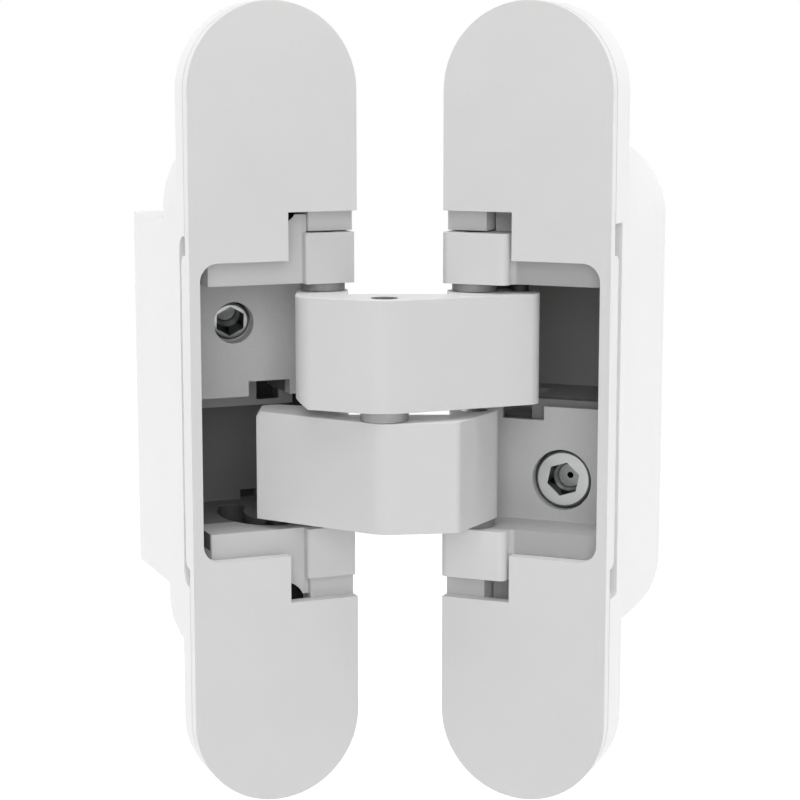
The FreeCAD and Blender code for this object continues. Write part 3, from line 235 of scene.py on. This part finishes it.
def patch_group():
    """1 inside a block given by its middle and half size, 0 outside it."""
    edge = 0.0001
    group, given, out = new_group("within_block", ("Vector", "Middle", "Half"), (), ("Share",))
    away = vector_maths(group, "ABSOLUTE", vector_maths(group, "SUBTRACT", given["Vector"], given["Middle"]))
    past = separated(group, vector_maths(group, "SUBTRACT", away, given["Half"]))
    worst = maths(group, "MAXIMUM", maths(group, "MAXIMUM", past["X"], past["Y"]), past["Z"])
    feed(group, out["Share"], ramp(group, worst, edge, -edge))
    return group


def socket_group():
    """Share, where shade is painted, is 1 on the flats of a screw's socket and part of it on the floor;
    Taper, where light is painted, is 1 further in.
    """
    flats_from = 0.95
    foot_share = 0.72
    group, given, out = new_group(
        "socket_flats", ("Vector", "Face", "Axis"), ("Flat", "Depth"), ("Share", "Taper"))
    away = vector_maths(group, "SUBTRACT", given["Vector"], given["Face"])
    along = vector_maths(group, "DOT_PRODUCT", away, given["Axis"])
    down = vector_maths(group, "SCALE", given["Axis"], along)
    radius = vector_maths(group, "LENGTH", vector_maths(group, "SUBTRACT", away, down))
    over = maths(group, "DIVIDE", radius, given["Flat"])
    left = maths(group, "SUBTRACT", given["Depth"], along)
    inside = maths(group, "LESS_THAN", over, flats_from)
    walls = maths(group, "MULTIPLY", ramp(group, along, low=0.0001, high=0.0005),
                  ramp(group, over, flats_from, high=0.995))
    floor_near = maths(group, "MULTIPLY", ramp(group, left, low=0.0006, high=0.0001), inside)
    foot = maths(group, "MULTIPLY", floor_near, foot_share)
    feed(group, out["Share"], maths(group, "MAXIMUM", walls, foot))
    feed(group, out["Taper"], maths(group, "MULTIPLY", ramp(group, along, low=0.0003, high=0.0006), inside))
    return group


COAT = coat_group()
POCKET = pocket_group()
PATCH = patch_group()
SOCKET = socket_group()


# Finishes

# Painted shade inside a leaf's pocket: the leaf, the tone of the shade, how deep it starts and where it is
# full, and how far up and down from the leaf's middle this goes
Pocket = namedtuple("Pocket", "leaf tone start stop tall")

Block = namedtuple("Block", "tone middle half")

# A hexagon socket: its middle on the screw's face, the direction inward, its size across the flats,
# the depth where its taper starts, the floor's depth, and how far down the taper goes for each step in
HexSocket = namedtuple("HexSocket", "face inward flats start depth slope")


def shaded_block(tone, across, deep, up):
    """A place given painted shade, from and to in each direction."""
    middle = [(first + last) / 2 for first, last in (across, deep, up)]
    half = [(last - first) / 2 for first, last in (across, deep, up)]
    return Block(tone, middle, half)


def place_in_leaf(tree, vector, leaf):
    """Across, deep and up in one leaf, from the object's own coordinates."""
    mapping = tree.nodes.new("ShaderNodeMapping")
    mapping.vector_type = "POINT"
    if leaf == "frame":
        mapping.inputs["Location"].default_value = (HALF_WIDTH, FLANGE_BACK, 0.0)
        mapping.inputs["Scale"].default_value = (-1.0, 1.0, 1.0)
    else:
        turn = math.radians(2 * LEAN)
        moved = Matrix.Rotation(turn, 3, "Z") @ DOOR_ORIGIN
        mapping.inputs["Location"].default_value = (-moved.x, -moved.y, 0.0)
        mapping.inputs["Rotation"].default_value = (0.0, 0.0, turn)
    feed(tree, mapping.inputs["Vector"], vector)
    return mapping.outputs["Vector"]


def new_material(name):
    """A material, its nodes, the inputs of its shader and the object's own coordinates."""
    material = bpy.data.materials.new(name)
    material.use_nodes = True
    tree = material.node_tree
    shader = tree.nodes["Principled BSDF"]
    coordinates = tree.nodes.new("ShaderNodeTexCoord")
    return material, tree, shader.inputs, coordinates.outputs["Object"]


def bump(tree, shader, height, distance):
    """Relief of a height between 0 and 1, over a distance."""
    node = tree.nodes.new("ShaderNodeBump")
    node.inputs["Distance"].default_value = distance
    node.inputs["Strength"].default_value = 1.0
    feed(tree, node.inputs["Height"], height)
    feed(tree, shader["Normal"], node.outputs["Normal"])


# Powder coat: its slight warmth, its drift in tone, the share and depth of its dark specks, its
# roughness and how much that drifts, how much rougher it is where shade is painted in a pocket, its gloss and
# its relief
COAT_WARMTH = 0.001
COAT_DRIFT = 0.008
SPECK_SHARE = 0.10
SPECK_DEPTH = 0.06
COAT_ROUGH = 0.44
COAT_ROUGH_DRIFT = 0.06
POCKET_SHADE_ROUGHER = 0.15
COAT_GLOSS = 0.28
COAT_RELIEF = 0.00001


def white_coat(name, tone, pocket=None, front_face_shade=None, shaded_blocks=()):
    """Satin white powder coat; inside a leaf's pocket painted shade darkens it to a grey, more so deeper in.

    The housing's front face, which lies under the cover plate, can be given a tone of painted shade. The
    blocks are places of painted shade, in the leaf's axes, or in the object's own where there is no pocket.
    """
    material, tree, shader, place = new_material(name)
    coat = placed(tree, COAT, Vector=place, Peel=0.7, Grit=0.3)
    drift = ramp(tree, coat["Drift"], low=0.3, high=0.7)
    speck = ramp(tree, coat["Speck"], low=0.25, high=0.75)
    darker, lighter = grey(tone - COAT_DRIFT, COAT_WARMTH), grey(tone + COAT_DRIFT, COAT_WARMTH)
    colour = blend_colours(tree, drift, darker, lighter)
    dark = maths(tree, "MULTIPLY", speck, SPECK_SHARE)
    colour = blend_colours(tree, dark, colour, grey(tone - SPECK_DEPTH))
    rough = maths(tree, "MULTIPLY_ADD", drift, COAT_ROUGH_DRIFT, COAT_ROUGH)
    spot = place_in_leaf(tree, place, pocket.leaf) if pocket else place
    # Painted shade on the housing's front face, which lies under the cover plate
    if front_face_shade:
        deep = separated(tree, spot)["Y"]
        colour = blend_colours(tree, ramp(tree, deep, low=0.0023, high=0.0019), colour, grey(front_face_shade))
    # Painted shade inside the pocket: the colour goes to a darker grey with depth
    if pocket:
        axes = separated(tree, spot)
        share = placed(tree, POCKET, Across=axes["X"], Deep=axes["Y"], Up=axes["Z"],
                       From=pocket.start, To=pocket.stop, Tall=pocket.tall)["Share"]
        colour = blend_colours(tree, share, colour, drifting(tree, speck, pocket.tone, by=0.03))
        rough = maths(tree, "MULTIPLY_ADD", share, POCKET_SHADE_ROUGHER, rough)
    # Painted shade in each block
    for block in shaded_blocks:
        share = placed(tree, PATCH, Vector=spot, Middle=block.middle, Half=block.half)["Share"]
        colour = blend_colours(tree, share, colour, grey(block.tone))
    feed(tree, shader["Base Color"], colour)
    feed(tree, shader["Roughness"], rough)
    shader["Specular IOR Level"].default_value = COAT_GLOSS
    bump(tree, shader, coat["Height"], COAT_RELIEF)
    return material


# In a screw's socket: how much lighter the taper is painted than the rest, as painted light, and the tone of
# the painted shade on the flats
TAPER_PAINTED_LIGHT = 1.9
FLATS_PAINTED_SHADE = 0.02


def turned_steel(name, tone, rough, tint=(1.0, 1.0, 1.0), recess=None):
    """Steel with fine turning marks and a faint drift of the plating; where it has a socket, painted shade on
    the socket's flats and painted light on its taper.
    """
    material, tree, shader, place = new_material(name)
    drift = ramp(tree, noise(tree, place, scale=260.0, detail=3.0), low=0.3, high=0.7)
    fine = noise(tree, place, scale=5200.0, detail=2.0, rough=0.6)
    colour = drifting(tree, drift, tone, by=0.05, tint=tint)
    if recess:
        down = placed(tree, SOCKET, Vector=place, Face=recess.face, Axis=recess.inward,
                      Flat=recess.flats / 2, Depth=recess.depth)
        # Painted light on the socket's taper, painted shade on its flats
        colour = blend_colours(tree, down["Taper"], colour, tinted(tone * TAPER_PAINTED_LIGHT, tint))
        colour = blend_colours(tree, down["Share"], colour, grey(FLATS_PAINTED_SHADE))
    feed(tree, shader["Base Color"], colour)
    shader["Metallic"].default_value = 1.0
    feed(tree, shader["Roughness"], maths(tree, "MULTIPLY_ADD", fine, 0.12, rough))
    bump(tree, shader, fine, distance=0.000004)
    return material


def slip_plastic(name, tone, rough):
    """Moulded slip plastic: a fine matt grain."""
    material, tree, shader, place = new_material(name)
    drift = ramp(tree, noise(tree, place, scale=700.0, detail=3.0), low=0.3, high=0.7)
    fine = noise(tree, place, scale=4200.0, detail=2.0)
    feed(tree, shader["Base Color"], drifting(tree, drift, tone, by=0.07))
    feed(tree, shader["Roughness"], maths(tree, "MULTIPLY_ADD", fine, 0.1, rough))
    bump(tree, shader, fine, distance=0.000006)
    return material


def screw_socket(joint, **sizes):
    """The hexagon socket of the screw that turns in a joint."""
    return HexSocket(Vector(JOINTS[joint]["pos_m"]), -Vector(JOINTS[joint]["axis"]), **sizes)


# Places past the carriers' inner side, outer side, back and both ends, in a leaf's axes
INNER = -0.001
OUTER = 0.025
BEHIND = 0.030
BELOW, ABOVE = -0.040, 0.040

plate_coat = white_coat("plate_coat", tone=0.80)

# The arms get a dark grey of painted shade in the hole of the centre pin, just under both their faces
HOLE_HALF = 0.0019
HOLE_TOP, HOLE_FOOT = 0.01592, 0.0134
hole_x, hole_y = JOINTS["arm_cross_pivot"]["pos_m"][:2]
arm_coat = white_coat("arm_coat", tone=0.79, shaded_blocks=[
    shaded_block(0.25, across=(hole_x - HOLE_HALF, hole_x + HOLE_HALF),
               deep=(hole_y - HOLE_HALF, hole_y + HOLE_HALF), up=up)
    for up in ((HOLE_FOOT, HOLE_TOP), (-HOLE_TOP, -HOLE_FOOT))])

# The frame leaf's housing gets a near black of painted shade in its two round corner holes; deep in each
# housing's pocket and on its front face under the cover plate, shade is painted too
frame_housing_coat = white_coat(
    "frame_housing_coat", tone=0.84, front_face_shade=0.66,
    pocket=Pocket("frame", tone=0.06, start=0.003, stop=0.012, tall=0.0248),
    shaded_blocks=[shaded_block(0.02, across=(0.0065, 0.0138), deep=(0.0026, 0.0118), up=up)
                 for up in ((0.0244, 0.0318), (-0.0318, -0.0244))])
door_housing_coat = white_coat(
    "door_housing_coat", tone=0.84, front_face_shade=0.62,
    pocket=Pocket("door", tone=0.11, start=0.003, stop=0.012, tall=0.0248))

# Painted shade in the pocket and in these blocks, in order: the ledges' front, the back wall, the lower
# end block's floor, the guide groove in it, the wall of the notch, the upper and the lower corner hole.
# The frame carrier's own tone is set a little darker than the door carrier's, as painted shade.
frame_carrier_coat = white_coat(
    "frame_carrier_coat", tone=0.71,
    pocket=Pocket("frame", tone=0.62, start=0.0012, stop=0.0027, tall=0.035),
    shaded_blocks=(
        shaded_block(0.67, across=(0.0072, OUTER), deep=(0.0016, 0.0026), up=(BELOW, ABOVE)),
        shaded_block(0.22, across=(INNER, OUTER), deep=(0.0236, BEHIND), up=(BELOW, ABOVE)),
        shaded_block(0.25, across=(INNER, OUTER), deep=(0.0096, BEHIND), up=(BELOW, -0.0170)),
        shaded_block(0.12, across=(0.004, 0.0215), deep=(0.0032, 0.0245), up=(-0.0196, -0.01725)),
        shaded_block(0.20, across=(-0.0005, 0.0072), deep=(0.0150, 0.0230), up=(-0.0005, 0.0024)),
        shaded_block(0.02, across=(0.0076, 0.0136), deep=(0.0027, 0.0090), up=(0.0250, 0.0310)),
        shaded_block(0.02, across=(0.0068, 0.0138), deep=(0.0027, 0.0090), up=(-0.0315, -0.0245))))

# Painted shade in the pocket and in these blocks, in order: the ledges' front, the front strip of the upper
# pocket, and what lies behind it
door_carrier_coat = white_coat(
    "door_carrier_coat", tone=0.78,
    pocket=Pocket("door", tone=0.55, start=0.0008, stop=0.0021, tall=0.035),
    shaded_blocks=(
        shaded_block(0.46, across=(0.0100, OUTER), deep=(0.0014, 0.0021), up=(BELOW, ABOVE)),
        shaded_block(0.22, across=(INNER, OUTER), deep=(0.0102, 0.0125), up=(-0.0034, ABOVE)),
        shaded_block(0.32, across=(INNER, OUTER), deep=(0.0125, BEHIND), up=(-0.0034, ABOVE))))

washer_grey = slip_plastic("washer_grey", tone=0.27, rough=0.42)
# The centre washer's grey is set lighter than the other washers', as painted light
centre_washer_grey = slip_plastic("centre_washer_grey", tone=0.40, rough=0.42)
# The guide sleeves are made near black as painted shade, where they sit between the lugs and the arms
sleeve_grey = slip_plastic("sleeve_grey", tone=0.045, rough=0.8)

ZINC_TINT = (0.965, 1.0, 0.985)
key_socket = screw_socket("frame_adjusting_turn", flats=0.00386, start=0.0016, depth=0.0044, slope=3.4)
disc_socket = screw_socket("door_adjusting_turn", flats=0.0043, start=0.0011, depth=0.0034, slope=2.7)
screw_zinc = turned_steel("screw_zinc", tone=0.55, rough=0.30, tint=ZINC_TINT)
key_zinc = turned_steel("key_zinc", tone=0.38, rough=0.30, tint=ZINC_TINT, recess=key_socket)
disc_zinc = turned_steel("disc_zinc", tone=0.42, rough=0.30, tint=ZINC_TINT, recess=disc_socket)
pin_ground = turned_steel("pin_ground", tone=0.48, rough=0.22)
# The centre pin is steel made darker as painted shade, down in the arms' hole
centre_pin_steel = turned_steel("centre_pin_steel", tone=0.22, rough=0.30)
# The guide pins are steel made near black as painted shade, as the sleeves are
guide_steel = turned_steel("guide_steel", tone=0.07, rough=0.60)


# Pieces

# How far apart points are merged, and the turns between faces, in degrees, under which they become
# one flat face, from which an edge is eased, and up to which they are shaded as one
MERGE = 0.000002
FLAT_TURN = 0.4
EDGE_TURN = 28.0
SMOOTH_TURN = 35.0

# A socket's taper: the sides of its round, how far it runs past the faces it meets, how far it
# reaches into the socket's walls, and its play at the socket's corners
ROUND_SIDES = 72
OVERRUN = 0.0001
BITE = 0.00015
CORNER_PLAY = 0.00002


def only(piece):
    """Select this piece alone."""
    bpy.ops.object.select_all(action="DESELECT")
    piece.select_set(True)
    bpy.context.view_layer.objects.active = piece


def combined(piece, other, operation):
    """A boolean of the two; the second piece is used up."""
    joint = piece.modifiers.new("combined", "BOOLEAN")
    joint.object = other
    joint.operation = operation
    joint.solver = "EXACT"
    only(piece)
    bpy.ops.object.modifier_apply(modifier=joint.name)
    bpy.data.objects.remove(other, do_unlink=True)


def taper_socket(piece, recess):
    """The taper at a hexagon socket's foot, from its corners down to a round floor."""
    corner = recess.flats / math.sqrt(3)
    turn = recess.inward.to_track_quat("Z", "Y").to_euler()
    low = recess.depth + OVERRUN
    bpy.ops.mesh.primitive_cylinder_add(
        vertices=ROUND_SIDES, radius=corner + BITE, depth=low - recess.start,
        location=recess.face + recess.inward * (recess.start + low) / 2, rotation=turn)
    ring = bpy.context.object
    high, foot = recess.start - OVERRUN, low + OVERRUN
    mouth = corner + CORNER_PLAY
    bpy.ops.mesh.primitive_cone_add(
        vertices=ROUND_SIDES, radius1=mouth + (recess.start - high) / recess.slope,
        radius2=mouth - (foot - recess.start) / recess.slope, depth=foot - high,
        location=recess.face + recess.inward * (high + foot) / 2, rotation=turn)
    combined(ring, bpy.context.object, "DIFFERENCE")
    combined(piece, ring, "UNION")


def softened(node, material, width, segments, recess=None):
    """A piece in the shape of a CAD node, its edges eased as a coated casting's are."""
    piece = bpy.data.objects.new("coated_" + node, frame["nodes"][node].data.copy())
    bpy.context.scene.collection.objects.link(piece)
    only(piece)
    bpy.ops.mesh.customdata_custom_splitnormals_clear()
    bpy.ops.object.mode_set(mode="EDIT")
    bpy.ops.mesh.select_all(action="SELECT")
    bpy.ops.mesh.remove_doubles(threshold=MERGE)
    bpy.ops.mesh.dissolve_limited(angle_limit=math.radians(FLAT_TURN))
    bpy.ops.object.mode_set(mode="OBJECT")
    if recess:
        taper_socket(piece, recess)
    ease = piece.modifiers.new("eased_edges", "BEVEL")
    ease.width = width
    ease.segments = segments
    ease.limit_method = "ANGLE"
    ease.angle_limit = math.radians(EDGE_TURN)
    ease.use_clamp_overlap = True
    bpy.ops.object.modifier_apply(modifier=ease.name)
    bpy.ops.object.shade_smooth_by_angle(angle=math.radians(SMOOTH_TURN))
    level = piece.modifiers.new("level_faces", "WEIGHTED_NORMAL")
    level.keep_sharp = True
    bpy.ops.object.modifier_apply(modifier=level.name)
    piece.data.materials.clear()
    piece.data.materials.append(material)
    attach(piece, BODY_OF[node])
    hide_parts(node)


def coated(node, material, width):
    """A powder coated casting."""
    softened(node, material, width, segments=3)


def washer(node, material):
    """A moulded washer."""
    softened(node, material, width=0.00012, segments=2)


def screw(node, material, recess):
    """An adjusting screw with its hexagon socket."""
    softened(node, material, width=0.00006, segments=2, recess=recess)


def dress(node, material):
    """A CAD node that keeps its shape and gets its finish."""
    data = frame["nodes"][node].data
    data.materials.clear()
    data.materials.append(material)


for side in ("frame", "door"):
    coated(side + "_cover_plate", plate_coat, width=0.00022)
coated("frame_housing", frame_housing_coat, width=0.0003)
coated("door_housing", door_housing_coat, width=0.0003)
coated("frame_arm_carrier", frame_carrier_coat, width=0.0002)
coated("door_arm_carrier", door_carrier_coat, width=0.0002)
for arm in ("upper", "lower"):
    coated(arm + "_arm", arm_coat, width=0.0003)
    dress(arm + "_guide_pin", guide_steel)
    dress(arm + "_guide_sleeve", sleeve_grey)
screw("frame_adjusting_screw", key_zinc, key_socket)
screw("door_adjusting_screw", disc_zinc, disc_socket)
for side in ("frame", "door"):
    for pin in ("_pivot", "_spacer"):
        washer(side + pin + "_washer", washer_grey)
        dress(side + pin + "_pin", pin_ground)
    dress(side + "_clamp_screws", screw_zinc)
washer("centre_washer", centre_washer_grey)
dress("centre_pin", centre_pin_steel)


# Light

AIM = in_front_frame(0.0, 0.012, 0.0)


def softbox(name, spot, width, height, power):
    """A large soft lamp that looks at the middle of the hinge."""
    data = bpy.data.lights.new(name, "AREA")
    data.shape = "RECTANGLE"
    data.size = width
    data.size_y = height
    data.energy = power
    lamp = bpy.data.objects.new(name, data)
    bpy.context.scene.collection.objects.link(lamp)
    lamp.location = in_front_frame(*spot)
    lamp.rotation_euler = (AIM - lamp.location).to_track_quat("-Z", "Y").to_euler()
    lamp.visible_camera = False


softbox("front_softbox", (0.0, -1.222, 0.445), width=1.1, height=1.1, power=7.85)
softbox("left_softbox", (-0.765, 0.250, 0.10), width=0.5, height=0.9, power=4.1)
softbox("right_softbox", (0.765, 0.250, 0.10), width=0.5, height=0.9, power=4.25)
softbox("top_softbox", (0.0, -0.15, 0.8), width=0.8, height=0.5, power=4.2)


# Backdrop and floor, near white where they are seen and faint as a light

BACKDROP_SEEN = 0.87
BACKDROP_LIGHT = 0.13
FLOOR_SEEN = 0.88
FLOOR_TONE = 0.9
FLOOR_SIZE = 12.0
FLOOR_UP = -0.30


def seen_directly(tree):
    """1 for a ray from the camera, or one mirrored or passed on by gloss or glass."""
    path = tree.nodes.new("ShaderNodeLightPath")
    seen = maths(tree, "MAXIMUM", path.outputs["Is Camera Ray"], path.outputs["Is Glossy Ray"])
    return maths(tree, "MAXIMUM", seen, path.outputs["Is Transmission Ray"])


world = bpy.data.worlds.new("studio")
bpy.context.scene.world = world
world.use_nodes = True
sky = world.node_tree
sky.nodes.clear()
sky_out = sky.nodes.new("ShaderNodeOutputWorld")
sky_glow = sky.nodes.new("ShaderNodeBackground")
sky_glow.inputs["Color"].default_value = grey(1.0)
feed(sky, sky_glow.inputs["Strength"],
     maths(sky, "MULTIPLY_ADD", seen_directly(sky), BACKDROP_SEEN, BACKDROP_LIGHT))
feed(sky, sky_out.inputs["Surface"], sky_glow.outputs["Background"])


def floor_material():
    """A matt floor that is lit when seen, and clear from below."""
    material = bpy.data.materials.new("floor_paint")
    material.use_nodes = True
    tree = material.node_tree
    tree.nodes.clear()
    out = tree.nodes.new("ShaderNodeOutputMaterial")
    matt = tree.nodes.new("ShaderNodeBsdfDiffuse")
    matt.inputs["Color"].default_value = grey(FLOOR_TONE)
    glow = tree.nodes.new("ShaderNodeEmission")
    feed(tree, glow.inputs["Strength"], maths(tree, "MULTIPLY", seen_directly(tree), FLOOR_SEEN))
    both = tree.nodes.new("ShaderNodeAddShader")
    feed(tree, both.inputs[0], matt.outputs["BSDF"])
    feed(tree, both.inputs[1], glow.outputs["Emission"])
    clear = tree.nodes.new("ShaderNodeBsdfTransparent")
    below = tree.nodes.new("ShaderNodeNewGeometry")
    mix = tree.nodes.new("ShaderNodeMixShader")
    feed(tree, mix.inputs["Fac"], below.outputs["Backfacing"])
    feed(tree, mix.inputs[1], both.outputs["Shader"])
    feed(tree, mix.inputs[2], clear.outputs["BSDF"])
    feed(tree, out.inputs["Surface"], mix.outputs["Shader"])
    return material


bpy.ops.object.select_all(action="DESELECT")
bpy.ops.mesh.primitive_plane_add(size=FLOOR_SIZE, location=(0.0, 0.0, FLOOR_UP))
floor = bpy.context.object
floor.name = "floor"
floor.data.materials.append(floor_material())

bpy.context.scene.view_settings.view_transform = "Standard"
